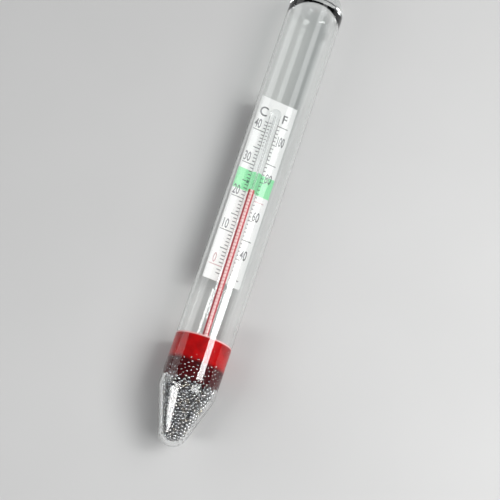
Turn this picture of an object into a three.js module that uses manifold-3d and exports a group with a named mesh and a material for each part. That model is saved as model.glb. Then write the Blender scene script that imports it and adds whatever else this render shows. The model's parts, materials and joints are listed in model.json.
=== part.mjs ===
// A floating glass thermometer for a darkroom bath, lying on a flat surface.
// Millimetres, +Z up. The tube's axis runs along +X, from the weighted foot to the crown.
// The origin is under the middle of the tube, on the surface that it lies on.
import * as THREE from "three";
import { mergeVertices } from "three/addons/utils/BufferGeometryUtils.js";
import Module from "manifold-3d";

const wasm = await Module();
wasm.setup();

// Driving dimensions

// the envelope: a tube whose foot is drawn to a rounded cone and whose crown is a dome
const LENGTH = 110;
const DIAMETER = 12.5;
const WALL = 0.6;
const FOOT_TIP_RADIUS = 3.3;
const FOOT_HALF_ANGLE = THREE.MathUtils.degToRad(18);
const FOOT_SHOULDER_RADIUS = 4;
const CROWN_SKIRT = 0.75; // straight part of the crown below its dome
const ENVELOPE_SIDES = 28;

// the scale card, which lies across the tube behind the capillary
const CARD_LENGTH = 44;
const CARD_WIDTH = 9.15;
const CARD_THICKNESS = 0.15;
const CARD_BOTTOM = 37.4; // from the tip of the foot to the card's lower edge
const CARD_ROLL = 0.51; // turn about the tube's axis, which lifts the C side
const CARD_YAW = 0.011; // how far the card lies askew in the tube
const CARD_DEPTH = 2.25; // from the tube's axis down to the card's face
const CARD_OFFSET = 0.27; // from the tube's axis towards the C side

// the capillary: a thick glass tube with a fine bore, and a bulb at its lower end
const STEM_DIAMETER = 2.5;
const STEM_BORE = 0.9;
const STEM_TOP = 79; // from the tip of the foot to the top of its sealing bead
const STEM_YAW = 0.019;
const STEM_OFFSET = 0.53; // from the tube's axis towards the C side, at the middle of the scale
const STEM_REST = 0.1; // from the card's face to the capillary
const BULB_DIAMETER = 3.8;
const BULB_WALL = 0.4;
const BULB_BOTTOM = 7.6;
const BULB_LENGTH = 11;
const BULB_NECK = 2.4; // length of the neck from the bulb's full width to the capillary
const STEM_SIDES = 16;

// the scale that the spirit is read against
const ZERO_AT = 40.8; // from the tip of the foot to 0 degrees C
const DEGREE = 0.814; // one degree C along the stem
const READING = 22.6; // degrees C at rest
const LOWEST = -2; // degrees C
const HEAD_LENGTH = 0.8; // the spirit's curved top, which rises and falls
const HEAD_REST = 0.4; // room left below the head when it stands at the lowest reading
const HEAD_DISH = 0.2; // how deep the spirit's top is dished
const SPIRIT_CLEARANCE = 0.03;

// the ballast and the wax that locks it
const WAX_TOP = 23.55;
const SHOT_TOP = 17.6;
const SHOT_DIAMETER = 0.8;
const SHOT_PITCH = 0.84; // between the centres of neighbouring balls
const LOOSE_SHOT = 34; // balls in the tip that are made one by one
const LOOSE_LAYERS = 5; // layers of balls that are looked through for them
const PIECE_GAP = 0.06; // between pieces that are moulded round each other

// how finely round outlines are divided
const FOOT_STEPS = 4;
const CROWN_STEPS = 4;
const BULB_STEPS = 3;
const MERGE_DISTANCE = 1e-4;

// Values that follow

const RADIUS = DIAMETER / 2;
const INNER_RADIUS = RADIUS - WALL;
const CROWN_JOINT = LENGTH - RADIUS - CROWN_SKIRT;
const CARD_MIDDLE = CARD_BOTTOM + CARD_LENGTH / 2;
const STEM_RADIUS = STEM_DIAMETER / 2;
const BORE_RADIUS = STEM_BORE / 2;
const BEAD_JOINT = STEM_TOP - STEM_RADIUS;
const HEAD_TOP = ZERO_AT + DEGREE * READING;
const COLUMN_BOTTOM = ZERO_AT + DEGREE * LOWEST - HEAD_LENGTH - HEAD_REST;

const toAlong = (y) => y - LENGTH / 2; // from the tip of the foot to the part's own X

// Finishes

const finish = (color, roughness, metalness, extra = {}) =>
  new THREE.MeshStandardMaterial({ color, roughness, metalness, ...extra });
const clear = { transparent: true, opacity: 0.3 };
const envelopeGlass = finish(0xdfe8ea, 0.03, 0, clear);
const stemGlass = finish(0xe9f0f2, 0.04, 0, clear);
const redSpirit = finish(0xc3182b, 0.15, 0);
const whiteCard = finish(0xf4f4f1, 0.7, 0);
const redWax = finish(0xb30d14, 0.4, 0);
const steelShot = finish(0xb9bcbf, 0.25, 1);

// Solids

// A round body about the tube's axis: profile points are (radius, distance along the axis).
// Its flats lie at the stated radius, so that it rests on a flat and measures its full size.
function turned(profile, sides) {
  const reach = 1 / Math.cos(Math.PI / sides);
  const points = profile.map((p) => new THREE.Vector2(p.x * reach, p.y));
  const body = new THREE.LatheGeometry(points, sides, Math.PI / sides);
  return body.rotateZ(-Math.PI / 2);
}

// The same body as a solid that can be cut and joined.
function solid(geometry) {
  const bare = geometry.clone();
  bare.deleteAttribute("normal");
  bare.deleteAttribute("uv");
  const merged = mergeVertices(bare, MERGE_DISTANCE);
  return new wasm.Manifold(
    new wasm.Mesh({
      numProp: 3,
      vertProperties: merged.attributes.position.array,
      triVerts: new Uint32Array(merged.index.array),
    }),
  );
}

function geometryOf(body) {
  const { vertProperties, triVerts } = body.getMesh();
  const geometry = new THREE.BufferGeometry();
  geometry.setAttribute("position", new THREE.BufferAttribute(vertProperties, 3));
  geometry.setIndex(new THREE.BufferAttribute(triVerts, 1));
  return geometry.toNonIndexed();
}

function piece(name, geometry, material) {
  const mesh = new THREE.Mesh(geometry, material);
  mesh.name = name;
  return mesh;
}

// The line of the foot, moved inwards by inset: the tip's arc, the cone and the shoulder's arc.
function footLine(inset) {
  const a = FOOT_HALF_ANGLE;
  const cornerAlong =
    FOOT_TIP_RADIUS * (1 - Math.sin(a)) +
    (RADIUS - FOOT_TIP_RADIUS * Math.cos(a)) / Math.tan(a);
  const shoulderAlong = cornerAlong + FOOT_SHOULDER_RADIUS * Math.tan(a / 2);
  const line = new THREE.Path();
  line.absarc(0, FOOT_TIP_RADIUS, FOOT_TIP_RADIUS - inset, -Math.PI / 2, -a);
  line.absarc(
    RADIUS - FOOT_SHOULDER_RADIUS,
    shoulderAlong,
    FOOT_SHOULDER_RADIUS - inset,
    -a,
    0,
  );
  return line.getPoints(FOOT_STEPS);
}

// What fills the foot and the tube from one distance along to another, a little clear of the glass.
function filling(from, to) {
  const outline = [
    ...footLine(WALL + PIECE_GAP),
    new THREE.Vector2(INNER_RADIUS - PIECE_GAP, to),
    new THREE.Vector2(0, to),
  ];
  const below = new THREE.BoxGeometry(2 * from, DIAMETER, DIAMETER);
  return solid(turned(outline, ENVELOPE_SIDES)).subtract(solid(below));
}

// Envelope

function glassTube() {
  const outline = [
    ...footLine(0),
    new THREE.Vector2(RADIUS, CROWN_JOINT),
    new THREE.Vector2(INNER_RADIUS, CROWN_JOINT),
    ...footLine(WALL).reverse(),
  ];
  return piece("glass_tube", turned(outline, ENVELOPE_SIDES), envelopeGlass);
}

function glassCrown() {
  const domeFrom = CROWN_JOINT + CROWN_SKIRT;
  const outer = new THREE.Path();
  outer.absarc(0, domeFrom, RADIUS, 0, Math.PI / 2);
  const inner = new THREE.Path();
  inner.absarc(0, domeFrom, INNER_RADIUS, Math.PI / 2, 0, true);
  const outline = [
    new THREE.Vector2(INNER_RADIUS, CROWN_JOINT),
    new THREE.Vector2(RADIUS, CROWN_JOINT),
    ...outer.getPoints(CROWN_STEPS),
    ...inner.getPoints(CROWN_STEPS),
    new THREE.Vector2(INNER_RADIUS, CROWN_JOINT),
  ];
  return piece("glass_crown", turned(outline, ENVELOPE_SIDES), envelopeGlass);
}

// Capillary and spirit, along the axis of the capillary

const bulbRadius = BULB_DIAMETER / 2;
const bulbTop = BULB_BOTTOM + BULB_LENGTH;
const neckTop = bulbTop + BULB_NECK;
const at = (radius, along) => new THREE.Vector2(radius, along);

// The bulb's rounded bottom and its neck, moved inwards by inset, ending in the stem's radius.
function bulbLine(inset, stemRadius) {
  const line = new THREE.Path();
  line.absarc(0, BULB_BOTTOM + bulbRadius, bulbRadius - inset, -Math.PI / 2, 0);
  line.lineTo(bulbRadius - inset, bulbTop);
  line.bezierCurveTo(
    bulbRadius - inset,
    bulbTop + BULB_NECK / 2,
    stemRadius,
    neckTop - BULB_NECK / 2,
    stemRadius,
    neckTop,
  );
  return line.getPoints(BULB_STEPS);
}

function capillaryStem() {
  const outline = [
    ...bulbLine(0, STEM_RADIUS),
    at(STEM_RADIUS, BEAD_JOINT),
    at(BORE_RADIUS, BEAD_JOINT),
    ...bulbLine(BULB_WALL, BORE_RADIUS).reverse(),
  ];
  return piece("capillary_stem", turned(outline, STEM_SIDES), stemGlass);
}

function sealingBead() {
  const dome = new THREE.Path();
  dome.absarc(0, BEAD_JOINT, STEM_RADIUS, 0, Math.PI / 2);
  const outline = [at(0, BEAD_JOINT), ...dome.getPoints(BULB_STEPS)];
  return piece("sealing_bead", turned(outline, STEM_SIDES), stemGlass);
}

function spiritReservoir() {
  const outline = [
    ...bulbLine(BULB_WALL + SPIRIT_CLEARANCE, BORE_RADIUS - SPIRIT_CLEARANCE),
    at(BORE_RADIUS - SPIRIT_CLEARANCE, COLUMN_BOTTOM),
    at(0, COLUMN_BOTTOM),
  ];
  return piece("spirit_reservoir", turned(outline, STEM_SIDES), redSpirit);
}

function spiritColumn() {
  const radius = BORE_RADIUS - SPIRIT_CLEARANCE;
  const outline = [
    at(0, COLUMN_BOTTOM),
    at(radius, COLUMN_BOTTOM),
    at(radius, HEAD_TOP - HEAD_LENGTH),
    at(0, HEAD_TOP - HEAD_LENGTH),
  ];
  return piece("spirit_column", turned(outline, STEM_SIDES), redSpirit);
}

// The top of the thread: a short slug with a dished end.
function spiritHead() {
  const radius = BORE_RADIUS - SPIRIT_CLEARANCE;
  const outline = [
    at(0, HEAD_TOP - HEAD_LENGTH),
    at(radius, HEAD_TOP - HEAD_LENGTH),
    at(radius, HEAD_TOP),
    at(radius / 2, HEAD_TOP - HEAD_DISH * 0.75),
    at(0, HEAD_TOP - HEAD_DISH),
  ];
  return piece("spirit_head", turned(outline, STEM_SIDES), redSpirit);
}

// The group that the card and the capillary share: it is rolled about the tube's axis.
const carried = new THREE.Group();
carried.position.set(toAlong(0), 0, RADIUS);
carried.rotation.x = CARD_ROLL;

function scaleCard() {
  const card = piece(
    "scale_card",
    new THREE.BoxGeometry(CARD_LENGTH, CARD_WIDTH, CARD_THICKNESS),
    whiteCard,
  );
  card.position.set(CARD_MIDDLE, CARD_OFFSET, -CARD_DEPTH - CARD_THICKNESS / 2);
  card.rotation.z = CARD_YAW;
  return card;
}

// The capillary's own line, which crosses the middle of the card.
const stemLine = new THREE.Group();
stemLine.position.set(
  CARD_MIDDLE - CARD_MIDDLE * Math.cos(STEM_YAW),
  STEM_OFFSET - CARD_MIDDLE * Math.sin(STEM_YAW),
  -CARD_DEPTH + STEM_REST + STEM_RADIUS / Math.cos(Math.PI / STEM_SIDES),
);
stemLine.rotation.z = STEM_YAW;
stemLine.add(
  capillaryStem(),
  sealingBead(),
  spiritReservoir(),
  spiritColumn(),
  spiritHead(),
);
carried.add(scaleCard(), stemLine);
carried.updateMatrixWorld(true);

// Ballast and wax, moulded round the bulb and the capillary

// What the bulb and the capillary fill, a little larger, in the tube's frame.
function bulbHollow() {
  const outline = [
    ...bulbLine(-PIECE_GAP, STEM_RADIUS + PIECE_GAP),
    at(STEM_RADIUS + PIECE_GAP, CARD_BOTTOM),
    at(0, CARD_BOTTOM),
  ];
  const inTube = new THREE.Matrix4()
    .makeTranslation(-toAlong(0), 0, -RADIUS)
    .multiply(stemLine.matrixWorld);
  return solid(turned(outline, STEM_SIDES).applyMatrix4(inTube));
}

// Balls stacked as closely as they go, from the tip of the foot upwards.
function ballPlaces() {
  const rowStep = (SHOT_PITCH * Math.sqrt(3)) / 2;
  const layerStep = SHOT_PITCH * Math.sqrt(2 / 3);
  const tip = FOOT_TIP_RADIUS - WALL - PIECE_GAP - SHOT_DIAMETER / 2;
  const most = Math.ceil(tip / rowStep) + 1;
  const places = [];
  for (let layer = 0; layer < LOOSE_LAYERS; layer++) {
    const along = FOOT_TIP_RADIUS - tip + layer * layerStep;
    const shift = layer % 2 ? SHOT_PITCH / 2 : 0;
    const reach = Math.sqrt(tip ** 2 - Math.max(0, FOOT_TIP_RADIUS - along) ** 2);
    for (let row = -most; row <= most; row++) {
      for (let column = -most; column <= most; column++) {
        const across = (column + (row % 2) / 2) * SHOT_PITCH + shift;
        const up = row * rowStep + shift / Math.sqrt(3);
        if (Math.hypot(across, up) <= reach + MERGE_DISTANCE)
          places.push(new THREE.Vector3(along, across, up));
      }
    }
  }
  return places.slice(0, LOOSE_SHOT);
}

const envelope = new THREE.Group();
envelope.position.set(toAlong(0), 0, RADIUS);
envelope.add(glassTube(), glassCrown());

const places = ballPlaces();
const stackTop = places.at(-1).x + SHOT_DIAMETER / 2 + PIECE_GAP;
const hollow = bulbHollow();
envelope.add(
  piece(
    "shot_ballast",
    geometryOf(filling(stackTop, SHOT_TOP - PIECE_GAP).subtract(hollow)),
    steelShot,
  ),
  piece("wax_plug", geometryOf(filling(SHOT_TOP, WAX_TOP).subtract(hollow)), redWax),
);
places.forEach((place, index) => {
  const ball = piece(
    `shot_${String(index + 1).padStart(2, "0")}`,
    new THREE.IcosahedronGeometry(SHOT_DIAMETER / 2, 1),
    steelShot,
  );
  ball.position.copy(place);
  envelope.add(ball);
});

const thermometer = new THREE.Group();
thermometer.add(envelope, carried);

export default thermometer;
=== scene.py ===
# %% [markdown]
# A floating thermometer for a darkroom bath, laid on a table. It is almost all glass: a sealed tube with
# a weighted foot, and in it a paper scale, a fine capillary filled with red spirit, a plug of red wax and
# over two thousand steel balls. Everything is in metres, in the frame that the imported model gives, so
# each piece is made where that model says and nothing is fitted afterwards.

# %% Load the frame
import json
import math

import bpy
import numpy as np
from mathutils import Euler, Matrix, Vector


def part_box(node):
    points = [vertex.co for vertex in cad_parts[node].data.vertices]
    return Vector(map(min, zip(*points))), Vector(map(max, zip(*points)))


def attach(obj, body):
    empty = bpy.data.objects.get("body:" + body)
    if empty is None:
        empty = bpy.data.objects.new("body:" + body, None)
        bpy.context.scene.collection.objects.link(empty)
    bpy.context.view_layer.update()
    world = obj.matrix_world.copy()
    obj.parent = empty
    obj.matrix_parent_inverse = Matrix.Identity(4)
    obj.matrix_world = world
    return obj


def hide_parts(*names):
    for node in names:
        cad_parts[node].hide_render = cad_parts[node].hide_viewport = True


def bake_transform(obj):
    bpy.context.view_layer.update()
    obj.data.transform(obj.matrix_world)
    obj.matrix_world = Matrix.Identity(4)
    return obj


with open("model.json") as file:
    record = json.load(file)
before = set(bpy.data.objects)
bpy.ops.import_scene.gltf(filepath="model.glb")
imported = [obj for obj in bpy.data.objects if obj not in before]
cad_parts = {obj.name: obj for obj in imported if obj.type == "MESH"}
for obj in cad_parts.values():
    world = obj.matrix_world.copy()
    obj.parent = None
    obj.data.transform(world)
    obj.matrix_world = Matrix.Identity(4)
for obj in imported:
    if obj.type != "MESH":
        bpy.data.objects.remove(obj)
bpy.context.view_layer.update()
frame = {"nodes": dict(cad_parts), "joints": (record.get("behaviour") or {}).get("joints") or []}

MM = 0.001

# %% [markdown]
# Every part of the thermometer is placed in one of three frames of its own. The tube's frame starts at
# the tip of the foot and runs along the axis. The scale's frame lies on the face of the card, and the
# capillary's frame runs along its bore. In all three, x runs from the foot to the crown, y towards the
# Celsius side of the card and z out of the card's face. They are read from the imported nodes, so that a
# change of the design moves the looks with it.

# %% Find the three frames
tube_low, tube_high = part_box("glass_tube")
crown_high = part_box("glass_crown")[1]
tube_radius = tube_high.z / 2
tube_length = crown_high.x - tube_low.x
tube_place = Matrix.Translation((tube_low.x, 0, tube_radius))


def corners(node):
    return [vertex.co.copy() for vertex in frame["nodes"][node].data.vertices]


def reach(node, start, direction):
    """The least and greatest distance of a node's corners from start, along direction."""
    along = [(corner - start).dot(direction) for corner in corners(node)]
    return min(along), max(along)


def middle(node):
    low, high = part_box(node)
    return (low + high) / 2


faces = sorted(frame["nodes"]["scale_card"].data.polygons, key=lambda face: face.area)
card_out = max((face.normal.copy() for face in faces[-4:]), key=lambda normal: normal.z)
end_faces = [face for face in faces if abs(face.normal.x) > 0.9]
card_along = max((face.normal.copy() for face in end_faces), key=lambda normal: normal.x)
card_across = card_out.cross(card_along)
card_middle = middle("scale_card")
card_length = 2 * reach("scale_card", card_middle, card_along)[1]
card_width = 2 * reach("scale_card", card_middle, card_across)[1]
card_thickness = 2 * reach("scale_card", card_middle, card_out)[1]


def place_of(origin, along, out):
    across = out.cross(along)
    return Matrix.Translation(origin) @ Matrix((along, across, out)).transposed().to_4x4()


tip = Vector((tube_low.x, 0, tube_radius))
face_middle = card_middle + card_out * card_thickness / 2
card_start = face_middle + card_along * (tip - face_middle).dot(card_along)
card_place = place_of(card_start, card_along, card_out)

stem_along = Vector(frame["joints"][0]["axis"]).normalized()
stem_out = (card_out - stem_along * card_out.dot(stem_along)).normalized()
stem_middle = middle("spirit_column")
stem_start = stem_middle + stem_along * (tip - stem_middle).dot(stem_along)
stem_place = place_of(stem_start, stem_along, stem_out)
thread_from, thread_to = reach("spirit_column", stem_start, stem_along)
head_to = reach("spirit_head", stem_start, stem_along)[1]
card_from = reach("scale_card", card_start, card_along)[0]
print("tube", round(tube_length / MM, 2), "card", round(card_length / MM, 2), round(card_width / MM, 2))
print("spirit from", round(thread_from / MM, 2), "to", round(head_to / MM, 2), "mm from the tip")

# %% [markdown]
# The camera comes first, because every choice of finish is judged through it. It looks down on the tube
# from near the foot through a long lens, and is rolled so that the tube stands up in the picture with
# the foot at the lower left.

# %% Place the camera
AIM = Vector((-9.2 * MM, -3.2 * MM, tube_radius))
CAMERA_DISTANCE = 316.7 * MM
LENS_MM = 105
SENSOR_MM = 36
NEAREST_SEEN = 10 * MM
CAMERA_TURN = Euler((math.radians(18.815), math.radians(8.154), math.radians(-71.869)))
backwards = CAMERA_TURN.to_matrix() @ Vector((0, 0, 1))
bpy.ops.object.select_all(action="DESELECT")
bpy.ops.object.camera_add(location=AIM + backwards * CAMERA_DISTANCE, rotation=CAMERA_TURN)
camera = bpy.context.object
camera.name = "camera"
camera.data.lens = LENS_MM
camera.data.sensor_width = SENSOR_MM
camera.data.clip_start = NEAREST_SEEN
bpy.context.scene.camera = camera
print("camera stands", round(camera.location.z / MM), "mm above the table")

# %% [markdown]
# Small helpers for modelling. A turned piece starts as one point, which is extruded along half of its
# outline in edit mode and then spun about the x axis, as on a lathe. Its doubled seam is merged, and
# its normals are worked out again, because a spin can leave them pointing inwards.

# %% Helpers for modelling
ROUND = 96
SEAM = 0.0005 * MM
SLIVER = 0.0001 * MM


def nothing_selected():
    if bpy.context.object and bpy.context.object.mode != "OBJECT":
        bpy.ops.object.mode_set(mode="OBJECT")
    bpy.ops.object.select_all(action="DESELECT")


def picked(piece):
    """Makes the piece the only one selected, and the active one."""
    nothing_selected()
    piece.select_set(True)
    bpy.context.view_layer.objects.active = piece


def made(name):
    """The object that an operator has just added, with its place moved into its mesh."""
    piece = bpy.context.object
    piece.name = name
    piece.data.name = name
    bpy.ops.object.transform_apply(location=True, rotation=True, scale=True)
    return piece


def edit(piece, select="SELECT"):
    picked(piece)
    bpy.ops.object.mode_set(mode="EDIT")
    bpy.ops.mesh.select_all(action=select)


def turned(name, outline, steps=ROUND):
    """A closed body of revolution about x. The outline is a list of (distance along x, radius)."""
    nothing_selected()
    bpy.ops.mesh.primitive_plane_add(size=MM, location=(0, 0, 0))
    piece = made(name)
    edit(piece)
    bpy.ops.mesh.merge(type="CENTER")
    start = Vector((outline[0][0], outline[0][1], 0))
    bpy.ops.transform.translate(value=start)
    for (x0, r0), (x1, r1) in zip(outline, outline[1:]):
        bpy.ops.mesh.extrude_region_move(TRANSFORM_OT_translate={"value": (x1 - x0, r1 - r0, 0)})
    bpy.ops.mesh.select_all(action="SELECT")
    bpy.ops.mesh.spin(steps=steps, angle=math.tau, center=(0, 0, 0), axis=(1, 0, 0))
    bpy.ops.mesh.select_all(action="SELECT")
    bpy.ops.mesh.remove_doubles(threshold=SEAM)
    bpy.ops.mesh.dissolve_degenerate(threshold=SLIVER)
    bpy.ops.mesh.select_all(action="SELECT")
    bpy.ops.mesh.normals_make_consistent(inside=False)
    bpy.ops.object.mode_set(mode="OBJECT")
    return piece


def inside_out(piece):
    edit(piece)
    bpy.ops.mesh.flip_normals()
    bpy.ops.object.mode_set(mode="OBJECT")


def joined(name, pieces):
    nothing_selected()
    for piece in pieces:
        piece.select_set(True)
    bpy.context.view_layer.objects.active = pieces[0]
    if len(pieces) > 1:
        bpy.ops.object.join()
    pieces[0].name = name
    pieces[0].data.name = name
    return pieces[0]


def smooth(piece, angle=40):
    picked(piece)
    bpy.ops.object.shade_smooth_by_angle(angle=math.radians(angle))


def apply_modifier(piece, kind, **settings):
    picked(piece)
    modifier = piece.modifiers.new(kind.lower(), kind)
    for key, value in settings.items():
        setattr(modifier, key, value)
    bpy.ops.object.modifier_apply(modifier=modifier.name)


def arc(middle_at, radius, start, end, steps):
    """Points on a circle about (middle_at[0], middle_at[1]); angles in degrees, 0 towards the crown."""
    turns = [math.radians(start + (end - start) * i / steps) for i in range(steps + 1)]
    return [(middle_at[0] + radius * math.cos(t), middle_at[1] + radius * math.sin(t)) for t in turns]


def finish_piece(piece, material, slot, *nodes, body="thermometer"):
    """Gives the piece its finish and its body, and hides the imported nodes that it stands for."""
    piece.data.materials.clear()
    piece.data.materials.append(material)
    if body:
        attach(piece, body)
    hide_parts(*nodes)
    print(piece.name, len(piece.data.polygons), "faces")


# %% [markdown]
# Small helpers for finishes. Each finish is one Principled shader, with patterns built from noise that
# reads the piece's Object coordinates. A pattern that follows the card or the capillary goes through a
# Mapping node of the Texture kind, which takes a point back into that piece's own frame.

# %% Helpers for finishes


def new_finish(name):
    material = bpy.data.materials.new(name)
    material.use_nodes = True
    return material, material.node_tree, material.node_tree.nodes["Principled BSDF"]


def object_coordinates(tree, place=None, stretch=(1, 1, 1)):
    """Object coordinates in a piece's own frame, stretched along its axes."""
    output = tree.nodes.new("ShaderNodeTexCoord").outputs["Object"]
    if place is not None:
        back = tree.nodes.new("ShaderNodeMapping")
        back.vector_type = "TEXTURE"
        back.inputs["Location"].default_value = place.translation
        back.inputs["Rotation"].default_value = place.to_euler()
        tree.links.new(output, back.inputs["Vector"])
        output = back.outputs["Vector"]
    if stretch != (1, 1, 1):
        scale = tree.nodes.new("ShaderNodeMapping")
        scale.inputs["Scale"].default_value = stretch
        tree.links.new(output, scale.inputs["Vector"])
        output = scale.outputs["Vector"]
    return output


def noise(tree, vector, size, detail=3.0, rough=0.5):
    """Noise whose lumps are about size metres across."""
    node = tree.nodes.new("ShaderNodeTexNoise")
    node.inputs["Scale"].default_value = 1 / size
    node.inputs["Detail"].default_value = detail
    node.inputs["Roughness"].default_value = rough
    tree.links.new(vector, node.inputs["Vector"])
    return node.outputs["Fac"]


def ramp(tree, value, *stops):
    """Colours at places along a value, as (place, (red, green, blue))."""
    node = tree.nodes.new("ShaderNodeValToRGB")
    bands = node.color_ramp.elements
    while len(bands) < len(stops):
        bands.new(0.5)
    for band, (position, colour) in zip(bands, stops):
        band.position = position
        band.color = (*colour, 1)
    tree.links.new(value, node.inputs["Fac"])
    return node.outputs["Color"]


def between(tree, value, low, high):
    """A value from 0 to 1 taken to the range from low to high."""
    node = tree.nodes.new("ShaderNodeMapRange")
    node.inputs["To Min"].default_value = low
    node.inputs["To Max"].default_value = high
    tree.links.new(value, node.inputs["Value"])
    return node.outputs["Result"]


def share_of(tree, value, low, high):
    """A value in the range from low to high taken to 0 to 1, and held there outside the range."""
    node = tree.nodes.new("ShaderNodeMapRange")
    node.inputs["From Min"].default_value = low
    node.inputs["From Max"].default_value = high
    tree.links.new(value, node.inputs["Value"])
    return node.outputs["Result"]


def computed(tree, operation, value, other=None):
    """The result of one Math node."""
    node = tree.nodes.new("ShaderNodeMath")
    node.operation = operation
    tree.links.new(value, node.inputs[0])
    if other is not None:
        node.inputs[1].default_value = other
    return node.outputs["Value"]


def axes(tree, place):
    """The outputs X, Y and Z of a point in a piece's own frame."""
    node = tree.nodes.new("ShaderNodeSeparateXYZ")
    tree.links.new(object_coordinates(tree, place), node.inputs["Vector"])
    return node.outputs


def multiplied(tree, first, second):
    node = tree.nodes.new("ShaderNodeMix")
    node.data_type = "RGBA"
    node.blend_type = "MULTIPLY"
    node.inputs["Factor"].default_value = 1.0
    tree.links.new(first, node.inputs["A"])
    tree.links.new(second, node.inputs["B"])
    return node.outputs["Result"]


def bump(tree, shader, height, strength, distance):
    node = tree.nodes.new("ShaderNodeBump")
    node.inputs["Strength"].default_value = strength
    node.inputs["Distance"].default_value = distance
    tree.links.new(height, node.inputs["Height"])
    tree.links.new(node.outputs["Normal"], shader.inputs["Normal"])


def settings(shader, **values):
    for key, value in values.items():
        shader.inputs[key.replace("_", " ")].default_value = value


# %% [markdown]
# Glass is a shader with full transmission. A path tracer finds it hard to carry lamp light through
# glass, so for shadow rays alone the surface becomes a clear film instead, darker where it is met
# edge on, which gives the soft shadow that a thin tube throws. Drawn glass is never quite even: long
# faint waves run along it, and handling leaves a little haze, so both are here, very weak.

# %% Glass finishes


def glass_finish(name, tint, index, wave, wave_depth, most_haze):
    material, tree, shader = new_finish(name)
    settings(shader, IOR=index, Transmission_Weight=1.0)
    drawn = object_coordinates(tree, stretch=(0.03, 1, 1))
    bump(tree, shader, noise(tree, drawn, wave, 2), 0.35, wave_depth)
    haze = noise(tree, object_coordinates(tree), 6 * MM, 4)
    tree.links.new(between(tree, haze, 0.0, most_haze), shader.inputs["Roughness"])
    duller = [0.985 * part for part in tint]
    tree.links.new(ramp(tree, haze, (0.3, tint), (0.7, duller)), shader.inputs["Base Color"])
    film = tree.nodes.new("ShaderNodeBsdfTransparent")
    edge = tree.nodes.new("ShaderNodeLayerWeight")
    edge.inputs["Blend"].default_value = 0.35
    shade = ramp(tree, edge.outputs["Facing"], (0.0, (0.97, 0.975, 0.97)), (0.9, (0.66, 0.68, 0.68)))
    tree.links.new(shade, film.inputs["Color"])
    rays = tree.nodes.new("ShaderNodeLightPath")
    mix = tree.nodes.new("ShaderNodeMixShader")
    tree.links.new(rays.outputs["Is Shadow Ray"], mix.inputs["Fac"])
    tree.links.new(shader.outputs["BSDF"], mix.inputs[1])
    tree.links.new(film.outputs["BSDF"], mix.inputs[2])
    output = tree.nodes["Material Output"]
    tree.links.new(mix.outputs["Shader"], output.inputs["Surface"])
    return material


envelope_finish = glass_finish(
    "drawn envelope glass", (0.985, 0.995, 0.99), 1.48, 3 * MM, 0.004 * MM, 0.006
)
capillary_finish = glass_finish(
    "capillary glass", (0.99, 0.995, 1.0), 1.5, 2.5 * MM, 0.0003 * MM, 0.002
)
print("glass finishes:", envelope_finish.name, "and", capillary_finish.name)

# %% [markdown]
# The envelope is one tube of thin glass, melted shut at both ends: the foot is drawn to a rounded cone,
# thick at its tip, and the crown is flame sealed to a dome. Two turned shells make it. The inner one is
# turned inside out, so that the glass lies between them, and light bends at both of its faces.

# %% Turn the envelope
FOOT_TIP_RADIUS = 3.3 * MM
FOOT_HALF_ANGLE = 18
FOOT_SHOULDER_RADIUS = 4 * MM
WALL = 0.6 * MM
TIP_THICKNESS = 1.0 * MM
INNER_TIP_RADIUS = 2.6 * MM
CROWN_THICKNESS = 3.0 * MM
INNER_DOME = 5.2 * MM
inner_radius = tube_radius - WALL


def foot_outline(tip_at, tip_radius, radius, inset=0.0, steps=10):
    """Half the foot's outline: the tip's arc, the cone and the shoulder's arc, moved inwards."""
    slope = math.radians(FOOT_HALF_ANGLE)
    tip_middle = tip_at + tip_radius
    corner = tip_middle - tip_radius * math.sin(slope)
    corner += (radius - tip_radius * math.cos(slope)) / math.tan(slope)
    shoulder = corner + FOOT_SHOULDER_RADIUS * math.tan(slope / 2)
    lean = 90 + FOOT_HALF_ANGLE
    tip_arc = arc((tip_middle, 0), tip_radius - inset, 180, lean, steps)
    shoulder_middle = (shoulder, radius - FOOT_SHOULDER_RADIUS)
    return tip_arc + arc(shoulder_middle, FOOT_SHOULDER_RADIUS - inset, lean, 90, steps // 2)


def dome(end_at, height, radius, steps=12):
    turns = [math.radians(90 * i / steps) for i in range(steps + 1)]
    return [(end_at - height * (1 - math.sin(t)), radius * math.cos(t)) for t in turns]


inner_foot = foot_outline(TIP_THICKNESS, INNER_TIP_RADIUS, inner_radius)
outer_line = foot_outline(0, FOOT_TIP_RADIUS, tube_radius) + dome(tube_length, tube_radius, tube_radius)
inner_line = inner_foot + dome(tube_length - CROWN_THICKNESS, INNER_DOME, inner_radius)
outer_shell = turned("outer shell", outer_line)
inner_shell = turned("inner shell", inner_line)
inside_out(inner_shell)
envelope = joined("glass_envelope", [outer_shell, inner_shell])
envelope.data.transform(tube_place)
smooth(envelope)
finish_piece(envelope, envelope_finish, "envelope_glass", "glass_tube", "glass_crown")
envelope.visible_diffuse = False

# %% [markdown]
# The capillary is a thick glass rod with a fine bore. Its lower end is blown into the bulb, which the
# ballast hides, and its upper end is melted to a bead a little fatter than the rod. Thick glass is a
# strong lens, so the bore looks half as wide again as it is. Where no spirit stands in it, hardly more
# than a hair line can be seen, so the empty bore is drawn that fine, and the spirit covers it.

# %% Turn the capillary
STEM_RADIUS = 1.25 * MM
BORE_RADIUS = 0.45 * MM
EMPTY_BORE_RADIUS = 0.14 * MM
STEM_TOP = 79.0 * MM
BEAD_RADIUS = 1.31 * MM
BEAD_LENGTH = 1.9 * MM
BEAD_FLARE = 0.35 * MM
BORE_END = 77.2 * MM
BULB_RADIUS = 1.9 * MM
BULB_WALL = 0.4 * MM
BULB_BOTTOM = 7.6 * MM
BULB_TOP = 18.6 * MM
NECK_TOP = 21.0 * MM
NECK_STEPS = 8
STEM_ROUND = 48


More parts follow.
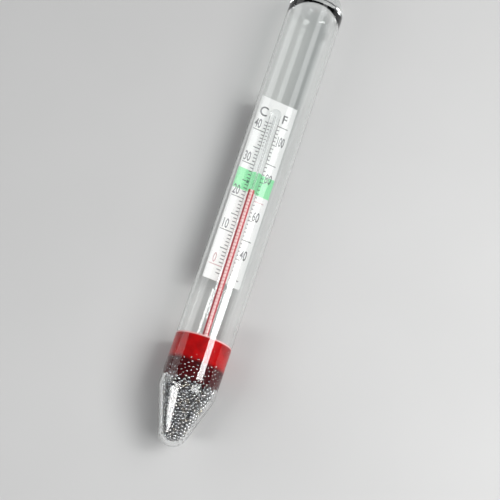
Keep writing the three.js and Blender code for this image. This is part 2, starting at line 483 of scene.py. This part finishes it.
def bulb_outline(inset, stem_radius):
    """Half the bulb's outline, moved inwards by inset, up to where the neck has the rod's radius."""
    radius = BULB_RADIUS - inset
    bottom = arc((BULB_BOTTOM + BULB_RADIUS, 0), radius, 180, 90, 8)
    neck = []
    for i in range(NECK_STEPS + 1):
        t = i / NECK_STEPS
        ease = t * t * (3 - 2 * t)
        neck.append((BULB_TOP + (NECK_TOP - BULB_TOP) * t, radius + (stem_radius - radius) * ease))
    return bottom + neck


bead_from = STEM_TOP - BEAD_LENGTH
bead = [(bead_from, STEM_RADIUS), (bead_from + BEAD_FLARE, BEAD_RADIUS)]
bead += dome(STEM_TOP, BEAD_RADIUS, BEAD_RADIUS, 8)
rod = turned("rod", bulb_outline(0, STEM_RADIUS) + bead, STEM_ROUND)
bore_line = bulb_outline(BULB_WALL, EMPTY_BORE_RADIUS)
bore_line += dome(BORE_END, EMPTY_BORE_RADIUS, EMPTY_BORE_RADIUS, 5)
bore = turned("bore", bore_line, STEM_ROUND)
inside_out(bore)
capillary = joined("capillary_glass", [rod, bore])
capillary.data.transform(stem_place)
smooth(capillary)
finish_piece(capillary, capillary_finish, "stem_glass", "capillary_stem", "sealing_bead")
capillary.visible_diffuse = False

# %% [markdown]
# The spirit is thin and dyed red. It wets the bore, so its surface is drawn a hair wider than the bore
# and hides it. Light from the white card comes back through the thinnest, foremost part, which looks
# pink, and the sides look deep red. That light and shade is painted into its colour, as a pattern
# across the thread, in the capillary's own frame turned a little towards the side that the scale is
# read from.
# The column is three pieces: the fill, which never moves, the thread, which stretches, and the short
# dished top, which rides up and down. The thread has a ring of points only at its two ends, so that
# all of it stretches evenly. The lines of the scale behind it are painted onto its colour as faint
# darker rungs, one for each degree, a painted shade of the print seen through it.

# %% Spirit finish
WETTING = 0.01 * MM
PAINTED_LIGHT_TURN = -15.8
ZERO_AT = 40.8 * MM
DEGREE = 0.814 * MM


def spirit_finish():
    material, tree, shader = new_finish("red spirit")
    painted_light_side = stem_place @ Matrix.Rotation(math.radians(PAINTED_LIGHT_TURN), 4, "X")
    place = axes(tree, painted_light_side)
    side = share_of(tree, computed(tree, "ABSOLUTE", place["Y"]), 0.0, BORE_RADIUS)
    # Painted light and shade: pale pink along the middle of the thread, deep red at its sides.
    painted_light_pink, red, painted_shade_red = (0.97, 0.70, 0.69), (0.74, 0.18, 0.20), (0.48, 0.015, 0.03)
    across = ramp(tree, side, (0.42, painted_light_pink), (0.60, red), (0.76, painted_shade_red), (0.97, red))
    # Painted shade: the scale lines behind the thread, laid on its colour as faint darker rungs.
    along = computed(tree, "SUBTRACT", place["X"], ZERO_AT - DEGREE / 2)
    part = computed(tree, "FRACT", computed(tree, "DIVIDE", along, DEGREE))
    clear, shade = (1, 1, 1), (0.80, 0.40, 0.43)
    lines = ramp(tree, part, (0.34, clear), (0.46, shade), (0.54, shade), (0.66, clear))
    tree.links.new(multiplied(tree, across, lines), shader.inputs["Base Color"])
    cloud = noise(tree, object_coordinates(tree, stem_place, (0.2, 1, 1)), 0.5 * MM, 2)
    tree.links.new(between(tree, cloud, 0.2, 0.4), shader.inputs["Roughness"])
    settings(shader, Specular_IOR_Level=0.05)
    return material


red_spirit = spirit_finish()
print("spirit finish:", red_spirit.name)

# %% Fill the bulb and the bore
spirit_radius = BORE_RADIUS + WETTING
fill_line = bulb_outline(BULB_WALL - WETTING, spirit_radius)
fill_line += [(thread_from, spirit_radius), (thread_from, 0)]
fill = turned("spirit_fill", fill_line, STEM_ROUND)
fill.data.transform(stem_place)
smooth(fill)
finish_piece(fill, red_spirit, "red_spirit", "spirit_reservoir")

thread_line = [(thread_from, 0), (thread_from, spirit_radius), (thread_to, spirit_radius), (thread_to, 0)]
thread = turned("spirit_thread", thread_line, STEM_ROUND)
thread.data.transform(stem_place)
smooth(thread)
finish_piece(thread, red_spirit, "red_spirit", "spirit_column", body=None)
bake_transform(thread)

DISH = 0.22 * MM
DISH_STEPS = 5
dish = []
for i in range(DISH_STEPS, -1, -1):
    dish.append((head_to - DISH * (1 - (i / DISH_STEPS) ** 2), spirit_radius * i / DISH_STEPS))
head_line = [(thread_to, 0), (thread_to, spirit_radius)] + dish
head = turned("spirit_meniscus", head_line, STEM_ROUND)
head.data.transform(stem_place)
smooth(head)
finish_piece(head, red_spirit, "red_spirit", "spirit_head", body="spirit_top")

# %% [markdown]
# The card is a strip of white coated stock, cut with a guillotine, so its edges are square with the
# slightest burr. It starts as a cube at its size, its edges are bevelled, and fine paper grain comes
# from the finish. The print is thin ink of its own, laid over the face, so every mark has a real edge.

# %% Card and ink finishes


def card_finish():
    material, tree, shader = new_finish("white coated card")
    grain = noise(tree, object_coordinates(tree, card_place), 0.12 * MM, 4, 0.6)
    cloud = noise(tree, object_coordinates(tree, card_place), 9 * MM, 2)
    colour = ramp(tree, cloud, (0.3, (0.86, 0.86, 0.85)), (0.7, (0.91, 0.91, 0.905)))
    tree.links.new(colour, shader.inputs["Base Color"])
    tree.links.new(between(tree, grain, 0.42, 0.62), shader.inputs["Roughness"])
    bump(tree, shader, grain, 0.25, 0.01 * MM)
    return material


def ink_finish(name, thin, full, grain_size=0.09 * MM):
    """Printing ink: its cover varies a little, as the card's grain takes it up."""
    material, tree, shader = new_finish(name)
    grain = noise(tree, object_coordinates(tree, card_place), grain_size, 3, 0.6)
    tree.links.new(ramp(tree, grain, (0.35, full), (0.68, thin)), shader.inputs["Base Color"])
    tree.links.new(between(tree, grain, 0.35, 0.6), shader.inputs["Roughness"])
    bump(tree, shader, grain, 0.2, 0.004 * MM)
    return material


white_card = card_finish()
grey_ink = ink_finish("grey ink", (0.04, 0.04, 0.05), (0.008, 0.008, 0.012))
rose_ink = ink_finish("rose ink", (0.60, 0.34, 0.36), (0.40, 0.18, 0.20))
green_ink = ink_finish("green ink", (0.30, 0.80, 0.42), (0.22, 0.70, 0.33), 0.5 * MM)
dark_green_ink = ink_finish("dark green ink", (0.03, 0.20, 0.09), (0.01, 0.09, 0.04))
print("inks:", grey_ink.name, rose_ink.name, green_ink.name, dark_green_ink.name)

# %% Cut the card
CARD_BURR = 0.025 * MM
nothing_selected()
card_centre = (card_from + card_length / 2, 0, -card_thickness / 2)
bpy.ops.mesh.primitive_cube_add(
    size=1, location=card_centre, scale=(card_length, card_width, card_thickness)
)
card = made("scale_card_stock")
edit(card)
bpy.ops.mesh.bevel(offset=CARD_BURR, segments=2, affect="EDGES")
bpy.ops.object.mode_set(mode="OBJECT")
card.data.transform(card_place)
smooth(card, 30)
finish_piece(card, white_card, "scale_card", "scale_card")

# %% [markdown]
# The print has a Celsius scale on one side of the capillary, with a line for each degree, and a
# Fahrenheit scale on the other, with a line for every second degree. Each line is one bar of ink: the
# first is modelled and the others are copies of it, each with its own mesh.

# %% Print the lines
INK = 0.008 * MM
INK_LIFT = 0.004 * MM
LINE = 0.17 * MM
F_TOP = 110
F_TOP_AT = 75.97 * MM
F_DEGREE = 0.461 * MM
BAR_EDGE = 0.06

nothing_selected()
bpy.ops.mesh.primitive_cube_add(size=1, location=(0, 0, 0))
bar = made("bar")
edit(bar)
bpy.ops.mesh.bevel(offset=BAR_EDGE, segments=1, affect="EDGES")
bpy.ops.object.mode_set(mode="OBJECT")


def line(at, inner, outer, width=LINE, shift=INK_LIFT):
    """A bar of ink across the card, from inner to outer, both towards the Celsius side."""
    copy = bar.copy()
    copy.data = bar.data.copy()
    bpy.context.scene.collection.objects.link(copy)
    size = Matrix.Diagonal((width, abs(outer - inner), INK, 1))
    copy.data.transform(Matrix.Translation((at, (inner + outer) / 2, shift)) @ size)
    return copy


def celsius(degrees):
    return ZERO_AT + DEGREE * degrees


def fahrenheit(degrees):
    return F_TOP_AT - (F_TOP - degrees) * F_DEGREE


C_INNER, C_SHORT, C_MIDDLE, C_LONG = 0.1 * MM, 1.95 * MM, 2.8 * MM, 4.2 * MM
F_INNER, F_SHORT, F_MIDDLE, F_LONG = -0.6 * MM, -1.85 * MM, -2.45 * MM, -3.75 * MM
c_lines, f_lines, rose_lines = [], [], []
for degree in range(-2, 44):
    outer = C_LONG if degree % 10 == 0 else C_MIDDLE if degree % 5 == 0 else C_SHORT
    group = rose_lines if degree == 0 else c_lines
    group.append(line(celsius(degree), C_INNER, outer))
for degree in range(30, 111, 2):
    outer = F_LONG if degree % 20 == 10 else F_MIDDLE if degree % 20 == 0 else F_SHORT
    group = rose_lines if degree == 70 else f_lines
    group.append(line(fahrenheit(degree), F_INNER, outer))
c_marks = joined("celsius_lines", c_lines)
f_marks = joined("fahrenheit_lines", f_lines)
rose_marks = joined("rose_lines", rose_lines)
for marks, ink in ((c_marks, grey_ink), (f_marks, grey_ink), (rose_marks, rose_ink)):
    marks.data.transform(card_place)
    finish_piece(marks, ink, "scale_card")

# %% [markdown]
# The band of green marks the range that a bath is kept in, and a small dark arrow points at its best
# temperature. The band is a thin layer under the lines.

# %% Print the green band and its arrow
BAND_FROM, BAND_TO = 22.3, 28.2
BEST = 25.0
band_low, band_high = celsius(BAND_FROM), celsius(BAND_TO)
EDGE_GAP = 0.03 * MM
nothing_selected()
bpy.ops.mesh.primitive_grid_add(x_subdivisions=12, y_subdivisions=24, size=1)
band = made("green_band")
size = Matrix.Diagonal((band_high - band_low, card_width - 2 * EDGE_GAP, 1, 1))
band.data.transform(Matrix.Translation(((band_low + band_high) / 2, 0, -INK_LIFT / 2)) @ size)
apply_modifier(band, "SOLIDIFY", thickness=INK_LIFT, offset=1.0)
band.data.transform(card_place)
finish_piece(band, green_ink, "scale_card")

ARROW_LENGTH, ARROW_WIDTH = 1.5 * MM, 1.1 * MM
ARROW_ACROSS = 1.3 * MM
nothing_selected()
bpy.ops.mesh.primitive_circle_add(vertices=3, radius=0.5, fill_type="NGON")
arrow = made("best_temperature_arrow")
edit(arrow)
bpy.ops.mesh.extrude_region_move(TRANSFORM_OT_translate={"value": (0, 0, 1)})
bpy.ops.mesh.select_all(action="SELECT")
bpy.ops.mesh.normals_make_consistent(inside=False)
bpy.ops.object.mode_set(mode="OBJECT")
size = Matrix.Diagonal((ARROW_WIDTH, ARROW_LENGTH, INK, 1))
point = Matrix.Rotation(math.pi, 4, "Z")
arrow.data.transform(Matrix.Translation((celsius(BEST), ARROW_ACROSS, INK_LIFT)) @ size @ point)
arrow.data.transform(card_place)
finish_piece(arrow, dark_green_ink, "scale_card")

# %% [markdown]
# The numbers are tall, thin and condensed, and stand on their long lines. They are text objects, made
# a little thinner than the font and squeezed, then turned into meshes before they are placed. Text
# runs along its own x, so on the card it is turned to read with the crown at the top.

# %% Print the numbers and letters
upright = Matrix(((0, 1, 0, 0), (-1, 0, 0, 0), (0, 0, 1, 0), (0, 0, 0, 1)))
DIGIT_HEIGHT = 2.3 * MM
CAPITAL = 0.73
SQUEEZE = 0.53


def printed(word, at, across, height=DIGIT_HEIGHT, squeeze=SQUEEZE, bold=0.008):
    """A word of ink whose middle is at that place along and across the card."""
    nothing_selected()
    bpy.ops.object.text_add(location=(0, 0, 0))
    text = bpy.context.object
    text.data.body = word
    text.data.align_x = "CENTER"
    text.data.align_y = "CENTER"
    text.data.resolution_u = 4
    text.data.offset = bold
    text.data.extrude = 0.5
    bpy.ops.object.convert(target="MESH")
    text = bpy.context.object
    scale = height / CAPITAL
    text.data.transform(Matrix.Diagonal((scale * squeeze, scale, INK, 1)))
    text.data.transform(Matrix.Translation((at, across, INK_LIFT)) @ upright)
    return text


C_ACROSS, F_ACROSS = 3.4 * MM, -2.95 * MM
NUMBER_LIFT = 1.38 * MM
NUDGE = 0.2 * MM
NARROW = 0.8
LETTER_SQUEEZE, LETTER_BOLD = 0.95, 0.010
words = [printed(str(n), celsius(n) + NUMBER_LIFT, C_ACROSS) for n in (10, 20, 30, 40)]
for n in (40, 60, 80, 100):
    squeeze = SQUEEZE * (NARROW if n == 100 else 1)
    words.append(printed(str(n), fahrenheit(n) + NUMBER_LIFT - NUDGE, F_ACROSS, squeeze=squeeze))
LETTERS_AT = 77.85 * MM
words.append(printed("C", LETTERS_AT, 2.95 * MM, 2.3 * MM, LETTER_SQUEEZE, LETTER_BOLD))
words.append(printed("F", LETTERS_AT, -2.35 * MM, 2.1 * MM, LETTER_SQUEEZE, LETTER_BOLD))
numbers = joined("numbers_and_letters", words)
zero = printed("0", celsius(0) + NUMBER_LIFT, C_ACROSS - NUDGE)
zero.name = "celsius_zero"
for piece, ink in ((numbers, grey_ink), (zero, rose_ink)):
    edit(piece)
    bpy.ops.mesh.remove_doubles(threshold=SEAM)
    bpy.ops.mesh.normals_make_consistent(inside=False)
    bpy.ops.object.mode_set(mode="OBJECT")
    piece.data.transform(card_place)
    finish_piece(piece, ink, "scale_card")

nothing_selected()
bpy.data.objects.remove(bar)

# %% [markdown]
# The red wax is poured in hot and locks the ballast. It wets the glass, so its side is drawn a hair
# wider than the bore of the tube and no silvery gap shows, and at its top it creeps up the wall and
# up the capillary. Below, it has soaked down between the balls and stops unevenly. A turned body has
# its lower skirt pulled in and made lumpy by a Displace modifier with a cloud texture, and is then
# kept inside the glass. Where it fills the gaps between the balls its colour is darkened almost to
# black, as painted shade. Where it has crept up the glass it is thin, and its colour there is painted
# pale, for the thin film and as a painted highlight along its rim.

# %% Wax finish
WAX_SOLID = 18.3 * MM
WAX_TOP = 23.3 * MM
SOAK_BLUR = 0.5 * MM
FILM_AND_HIGHLIGHT_FROM = 0.08 * MM
FILM_AND_HIGHLIGHT_TO = 0.22 * MM


def wax_finish():
    material, tree, shader = new_finish("red wax")
    cloud = noise(tree, object_coordinates(tree), 2.2 * MM, 4, 0.55)
    colour = ramp(tree, cloud, (0.3, (0.28, 0.0012, 0.002)), (0.6, (0.50, 0.002, 0.003)))
    along = axes(tree, tube_place)["X"]
    # Painted shade: the wax is darker below the solid plug, where it lies among the balls.
    solid = share_of(tree, along, WAX_SOLID - SOAK_BLUR, WAX_SOLID + SOAK_BLUR)
    painted_shade_among_balls = ramp(tree, solid, (0.0, (0.13, 0.5, 0.9)), (1.0, (1, 1, 1)))
    # Thin film and painted highlight: the colour is paler in a band just above the top of the wax.
    thin = tree.nodes.new("ShaderNodeMix")
    thin.data_type = "RGBA"
    thin.inputs["B"].default_value = (0.85, 0.50, 0.50, 1)
    film = share_of(tree, along, WAX_TOP + FILM_AND_HIGHLIGHT_FROM, WAX_TOP + FILM_AND_HIGHLIGHT_TO)
    tree.links.new(film, thin.inputs["Factor"])
    tree.links.new(multiplied(tree, colour, painted_shade_among_balls), thin.inputs["A"])
    tree.links.new(thin.outputs["Result"], shader.inputs["Base Color"])
    grain = noise(tree, object_coordinates(tree), 0.35 * MM, 4, 0.6)
    tree.links.new(between(tree, grain, 0.25, 0.55), shader.inputs["Roughness"])
    bump(tree, shader, grain, 0.4, 0.03 * MM)
    settings(shader, Subsurface_Weight=0.08, Subsurface_Scale=0.3 * MM, Specular_IOR_Level=0.06)
    shader.inputs["Subsurface Radius"].default_value = (1.0, 0.12, 0.1)
    return material


red_wax = wax_finish()

# %% Pour the wax
WAX_CREEP = 0.45 * MM
SOAK_TO = 13.9 * MM
SOAK_FRINGE = 0.7 * MM
SKIRT_INSET = 1.4 * MM
SKIRT_SHOULDER = 0.5 * MM
CREEP_REACH = 0.45 * MM
BELOW_TOP = 2 * MM
LUMP_SIZE = 1.0 * MM
LUMP_DEPTH = 1.6 * MM
CUTTER_TOP = 30 * MM
WAX_ROUND = 160
wax_radius = inner_radius + WETTING
skirt_from = SOAK_TO - SOAK_FRINGE
side = [(skirt_from, wax_radius - SKIRT_INSET), (SOAK_TO, wax_radius - SKIRT_SHOULDER)]
SOAK_STEPS = 14
for i in range(1, SOAK_STEPS):
    side.append((SOAK_TO + (WAX_SOLID - SOAK_TO) * i / SOAK_STEPS, wax_radius))
side += [(WAX_SOLID, wax_radius), (WAX_TOP - BELOW_TOP, wax_radius), (WAX_TOP + WAX_CREEP, wax_radius)]
TOP_STEPS = 16
for i in range(1, TOP_STEPS):
    r = wax_radius * (1 - i / TOP_STEPS)
    creep = WAX_CREEP * math.exp(-(wax_radius - r) / CREEP_REACH)
    side.append((WAX_TOP + creep, r))
wax_line = [(skirt_from, 0)] + side + [(WAX_TOP, 0)]
wax = turned("wax_plug_poured", wax_line, WAX_ROUND)
soaked = wax.vertex_groups.new(name="soaked")
for vertex in wax.data.vertices:
    if vertex.co.x < SOAK_TO + SOAK_FRINGE and vertex.co.yz.length > inner_radius / 2:
        soaked.add([vertex.index], 1.0, "REPLACE")
clouds = bpy.data.textures.new("soak", "CLOUDS")
clouds.noise_scale = LUMP_SIZE
clouds.noise_depth = 2
apply_modifier(
    wax, "DISPLACE", texture=clouds, texture_coords="LOCAL", vertex_group="soaked",
    strength=LUMP_DEPTH, mid_level=0.45,
)
for vertex in wax.data.vertices:
    wide = vertex.co.yz.length
    if wide > wax_radius:
        vertex.co.y *= wax_radius / wide
        vertex.co.z *= wax_radius / wide
wax.data.transform(tube_place)

cutter_line = bulb_outline(WETTING, STEM_RADIUS - WETTING)
cutter_line += [(CUTTER_TOP, STEM_RADIUS - WETTING), (CUTTER_TOP, 0)]
cutter = turned("capillary's room", cutter_line, STEM_ROUND)
cutter.data.transform(stem_place)
apply_modifier(wax, "BOOLEAN", object=cutter, operation="DIFFERENCE", solver="EXACT")
bpy.data.objects.remove(cutter)
smooth(wax, 50)
finish_piece(wax, red_wax, "red_wax", "wax_plug")

# %% [markdown]
# A few bubbles of air are caught between the wax and the glass. Each is drawn as a small solid ball
# whose pale colour is a painted reflection of the air pocket. One small ball is modelled and copied to
# places that a seeded random draw gives.

# %% Bubbles in the wax


def speck_finish():
    material, tree, shader = new_finish("air in the wax")
    cloud = noise(tree, object_coordinates(tree), 0.3 * MM)
    # Painted reflection: a pale pink colour stands in for the shine of the air pocket.
    tree.links.new(
        ramp(tree, cloud, (0.3, (0.9, 0.45, 0.42)), (0.7, (0.98, 0.8, 0.78))), shader.inputs["Base Color"]
    )
    tree.links.new(between(tree, cloud, 0.1, 0.3), shader.inputs["Roughness"])
    return material


def copies_of(source, places, sizes):
    """One mesh with a copy of source at each place, each copy at its own size."""
    points = np.array([vertex.co for vertex in source.data.vertices])
    faces = np.array([face.vertices for face in source.data.polygons])
    every = places[:, None, :] + points[None] * sizes[:, None, None]
    shifted = faces[None] + (np.arange(len(places)) * len(points))[:, None, None]
    mesh = bpy.data.meshes.new("copies")
    mesh.from_pydata(every.reshape(-1, 3).tolist(), [], shifted.reshape(-1, faces.shape[1]).tolist())
    mesh.polygons.foreach_set("use_smooth", [True] * len(mesh.polygons))
    piece = bpy.data.objects.new("copies", mesh)
    bpy.context.scene.collection.objects.link(piece)
    return piece


def ball(name, radius, finer):
    nothing_selected()
    bpy.ops.mesh.primitive_ico_sphere_add(subdivisions=finer, radius=radius, location=(0, 0, 0))
    return made(name)


BUBBLES = 26
BUBBLE_RADIUS = 0.09 * MM
BUBBLES_FROM, BUBBLES_TO = 18.3 * MM, 22.6 * MM
draw = np.random.default_rng(11)
speck = ball("speck", BUBBLE_RADIUS, 2)
turn = draw.uniform(0, math.tau, BUBBLES)
along = draw.uniform(BUBBLES_FROM, BUBBLES_TO, BUBBLES)
places = np.stack([along, np.cos(turn) * wax_radius, np.sin(turn) * wax_radius], axis=1)
bubbles = copies_of(speck, places, draw.uniform(0.5, 1.1, BUBBLES))
bubbles.name = "wax_bubbles"
bubbles.data.transform(tube_place)
finish_piece(bubbles, speck_finish(), "red_wax")
bpy.data.objects.remove(speck)

# %% [markdown]
# The ballast is steel shot. Poured shot has no pattern, so the balls start at random places in the
# foot and push each other apart, in small steps, while the glass holds them in from outside and the
# bulb keeps them off from within. Most pairs end up just touching, but a few balls stay jammed into
# one another at the very tip. Each ball has eighty faces, since there are over two thousand of them.
# The balls that lie at the glass are moved out until they reach a hair into it, so that the front of
# each shows as a small bright disc, through the red of the wax as well.

# %% Steel finish


def steel_finish():
    material, tree, shader = new_finish("steel shot")
    settings(shader, Metallic=1.0)
    batch = noise(tree, object_coordinates(tree), 1.1 * MM, 2)
    warm = ramp(
        tree, batch, (0.25, (0.32, 0.33, 0.35)), (0.52, (0.60, 0.60, 0.61)), (0.75, (0.46, 0.41, 0.33))
    )
    tree.links.new(warm, shader.inputs["Base Color"])
    scuff = noise(tree, object_coordinates(tree), 0.15 * MM, 4, 0.6)
    tree.links.new(between(tree, scuff, 0.12, 0.24), shader.inputs["Roughness"])
    bump(tree, shader, scuff, 0.15, 0.004 * MM)
    return material


# %% Pack the shot
BALL_RADIUS = 0.4 * MM
SHOT_TOP = 18.4 * MM
FILL_SHARE = 0.60
STEPS = 160
NEIGHBOURS_EVERY = 8
NEIGHBOURS_WITHIN = 2.9 * BALL_RADIUS
PUSH_SHARE = 0.8
SLICES = 400
START_SCATTER = 1e-5
AT_GLASS = 0.25 * MM
SEEN_CAP = 0.07 * MM

hold = foot_outline(TIP_THICKNESS, INNER_TIP_RADIUS, inner_radius, BALL_RADIUS)
hold_x, hold_r = np.array(hold + [(SHOT_TOP + 5 * MM, inner_radius - BALL_RADIUS)]).T
bulb = bulb_outline(-BALL_RADIUS, STEM_RADIUS + BALL_RADIUS)
bulb_x, bulb_r = np.array(bulb).T
stem_in_tube = tube_place.inverted() @ stem_place
stem_point = np.array(stem_in_tube.translation)
stem_direction = np.array(stem_in_tube.to_3x3() @ Vector((1, 0, 0)))


def kept_in(points):
    """Moves points out of the glass wall and out of the bulb."""
    points[:, 0] = np.clip(points[:, 0], hold_x[0] + 0.01 * MM, SHOT_TOP)
    wide = np.hypot(points[:, 1], points[:, 2])
    most = np.interp(points[:, 0], hold_x, hold_r)
    points[:, 1:] *= np.minimum(1, most / np.maximum(wide, 1e-9))[:, None]
    down = (points - stem_point) @ stem_direction
    nearest = stem_point + down[:, None] * stem_direction
    away = points - nearest
    far = np.linalg.norm(away, axis=1)
    least = np.interp(down, bulb_x, bulb_r, left=0)
    push = np.maximum(least - far, 0) / np.maximum(far, 1e-9)
    return points + away * push[:, None]


def packed_balls():
    rng = np.random.default_rng(5)
    slices = np.linspace(hold_x[0], SHOT_TOP, SLICES)
    room = np.interp(slices, hold_x, hold_r) + BALL_RADIUS
    bulk = np.interp(slices, bulb_x, bulb_r, left=0) - BALL_RADIUS
    area = math.pi * (room ** 2 - np.maximum(bulk, 0) ** 2)
    volume = float(np.mean(area) * (slices[-1] - slices[0]))
    count = int(volume * FILL_SHARE / (4 / 3 * math.pi * BALL_RADIUS ** 3))
    density = np.maximum(area, 0)
    points = np.zeros((count, 3))
    points[:, 0] = rng.choice(slices, count, p=density / density.sum())
    points[:, 0] += rng.uniform(-1, 1, count) * START_SCATTER
    turn = rng.uniform(0, math.tau, count)
    wide = np.sqrt(rng.uniform(0, 1, count)) * np.interp(points[:, 0], hold_x, hold_r)
    points[:, 1], points[:, 2] = wide * np.cos(turn), wide * np.sin(turn)
    points = kept_in(points)
    for step in range(STEPS):
        if step % NEIGHBOURS_EVERY == 0:
            square = (points ** 2).sum(1)
            apart = square[:, None] + square[None] - 2 * points @ points.T
            first, second = np.nonzero(np.triu(apart < NEIGHBOURS_WITHIN ** 2, 1))
        gap = points[second] - points[first]
        length = np.maximum(np.linalg.norm(gap, axis=1), 1e-9)
        push = gap * (np.maximum(2 * BALL_RADIUS - length, 0) * 0.5 / length)[:, None]
        for axis in range(3):
            points[:, axis] += np.bincount(second, push[:, axis], count) * PUSH_SHARE
            points[:, axis] -= np.bincount(first, push[:, axis], count) * PUSH_SHARE
        points = kept_in(points)
    gap = np.linalg.norm(points[second] - points[first], axis=1)
    print("balls:", count, "deepest overlap:", round(float(2 * BALL_RADIUS - gap.min()) / MM, 3), "mm")
    return points


balls = packed_balls()
wide = np.hypot(balls[:, 1], balls[:, 2])
most = np.interp(balls[:, 0], hold_x, hold_r)
at_glass = (wide > most - AT_GLASS) & (wide > BALL_RADIUS)
balls[at_glass, 1:] *= ((most + SEEN_CAP) / wide)[at_glass][:, None]
steel = steel_finish()
shot = ball("one ball", BALL_RADIUS, 2)
TIP_SHOT_TO = 7.0 * MM
zones = (
    ("shot_in_tip", balls[:, 0] < TIP_SHOT_TO),
    ("shot_in_foot", (balls[:, 0] >= TIP_SHOT_TO) & (balls[:, 0] < SOAK_TO)),
    ("shot_in_wax", balls[:, 0] >= SOAK_TO),
)
loose = [name for name in frame["nodes"] if name.startswith("shot_") and name != "shot_ballast"]
stands_for = {"shot_in_tip": loose, "shot_in_foot": ["shot_ballast"], "shot_in_wax": []}
for name, chosen in zones:
    group = copies_of(shot, balls[chosen], np.ones(int(chosen.sum())))
    group.name = name
    group.data.transform(tube_place)
    finish_piece(group, steel, "steel_shot", *stands_for[name])
bpy.data.objects.remove(shot)

# %% [markdown]
# The table is a plain pale surface. It is not part of the thermometer. It lies a hair below the tube,
# so that the two never share a line.

# %% Lay the table


def table_finish():
    material, tree, shader = new_finish("pale table")
    cloud = noise(tree, object_coordinates(tree), 0.06, 3)
    colour = ramp(tree, cloud, (0.3, (0.59, 0.59, 0.585)), (0.7, (0.62, 0.62, 0.615)))
    tree.links.new(colour, shader.inputs["Base Color"])
    settings(shader, Roughness=0.6)
    return material


TABLE_SIZE = 6
TABLE_GAP = 0.02 * MM
nothing_selected()
bpy.ops.mesh.primitive_plane_add(size=TABLE_SIZE, location=(0, 0, -TABLE_GAP))
table = made("table")
table.data.materials.append(table_finish())

# %% [markdown]
# Glass shows only what it mirrors and bends, so the lamps are placed for their reflections. A row of
# softboxes to the right, brightest by the foot, draws the bright streak down the whole tube, and a wide
# dim panel to the left gives the milky band along the edge. Two beyond the foot light the cone and fill
# the card without a streak, since a long tube can't mirror them towards the camera. The room itself is
# a plain soft grey.

# %% Light the table
ACROSS_AIM = Vector((0, 0, tube_radius))


def softbox(name, lean, distance, along, length, width, power, tilt=0.0):
    """A lamp beside the tube: lean is its angle from straight above, towards the Fahrenheit side."""
    turn = math.radians(lean)
    place = ACROSS_AIM + Vector((along, -distance * math.sin(turn), distance * math.cos(turn)))
    nothing_selected()
    bpy.ops.object.light_add(type="AREA", location=place, rotation=(turn, math.radians(tilt), 0))
    lamp = bpy.context.object
    lamp.name = name
    lamp.data.shape = "RECTANGLE"
    lamp.data.size = length
    lamp.data.size_y = width
    lamp.data.energy = power
    lamp.visible_camera = False


KEY_LEAN, KEY_DISTANCE, KEY_WIDTH = 44.5, 0.34, 0.14
softbox("key softbox beyond the foot", KEY_LEAN, KEY_DISTANCE, -0.075, 0.13, 0.20, 0.62)
softbox("key softbox by the foot", KEY_LEAN, KEY_DISTANCE, 0.038, 0.06, KEY_WIDTH, 0.50)
softbox("key softbox by the card", KEY_LEAN, KEY_DISTANCE, 0.098, 0.06, KEY_WIDTH, 0.08)
softbox("key softbox by the crown", KEY_LEAN, KEY_DISTANCE, 0.218, 0.18, KEY_WIDTH, 0.17)
softbox("edge panel", -69, 0.42, 0.12, 0.36, 0.28, 0.45)
softbox("foot softbox", -41, 0.40, -0.215, 0.075, 0.26, 0.62, tilt=-25)

ROOM_COLOUR = (0.93, 0.95, 1.0, 1)
ROOM_STRENGTH = 0.10
world = bpy.data.worlds.new("soft room")
world.use_nodes = True
room = world.node_tree.nodes["Background"]
room.inputs["Color"].default_value = ROOM_COLOUR
room.inputs["Strength"].default_value = ROOM_STRENGTH
bpy.context.scene.world = world
bpy.context.scene.view_settings.view_transform = "Standard"
